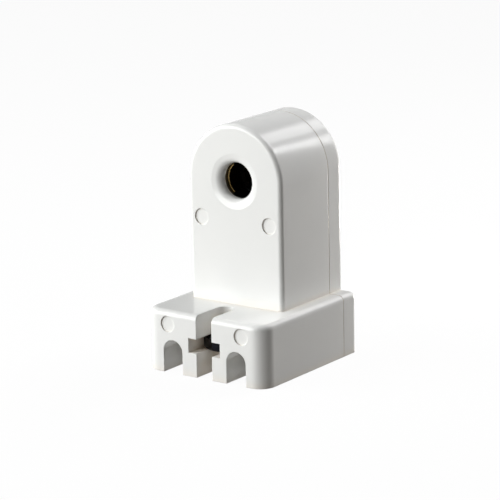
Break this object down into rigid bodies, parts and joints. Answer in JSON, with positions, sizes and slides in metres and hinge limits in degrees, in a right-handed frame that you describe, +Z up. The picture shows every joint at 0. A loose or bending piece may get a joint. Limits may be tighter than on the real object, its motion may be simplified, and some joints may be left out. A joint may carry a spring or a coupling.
{
  "type": "fluorescent tube lamp holder",
  "caption": "Pedestal lamp holder for a single-pin fluorescent tube: white moulded base with a T-slot and wire grooves, arched tower with a flared pin hole, rear cover, brass jaws inside.",
  "frame": {"origin": "centre of the base's mounting face", "axes": "+X to the right seen from the lamp side, +Y from the lamp side to the rear cover, +Z up from the mounting face"},
  "size_m": [0.039, 0.043, 0.0658],
  "materials": {
    "white_plastic": "gloss",
    "black_phenolic": "satin",
    "brass": "satin",
    "spring_steel": "satin",
    "nut_steel": "satin, dark",
    "screw_steel": "bright zinc"
  },
  "bodies": {
    "holder": {"housing": "white_plastic", "rear_cover": "white_plastic", "contact_carrier": "black_phenolic", "carrier_cap": "black_phenolic", "left_jaw": "brass", "right_jaw": "brass", "jaw_spring": "spring_steel", "left_jaw_rivet": "brass", "right_jaw_rivet": "brass", "contact_strap": "brass", "terminal_plate": "brass", "front_strap_rivet": "brass", "rear_strap_rivet": "brass", "left_wire_clamp": "spring_steel", "right_wire_clamp": "spring_steel", "upper_left_screw": "screw_steel", "upper_right_screw": "screw_steel", "lower_left_screw": "screw_steel", "lower_right_screw": "screw_steel"},
    "nut": {"captive_nut": "nut_steel"}
  },
  "joints": [
    {"name": "nut_slide", "type": "slide", "parent": "holder", "child": "nut", "axis": [0, -1, 0], "range_m": [0, 0.0034]}
  ]
}
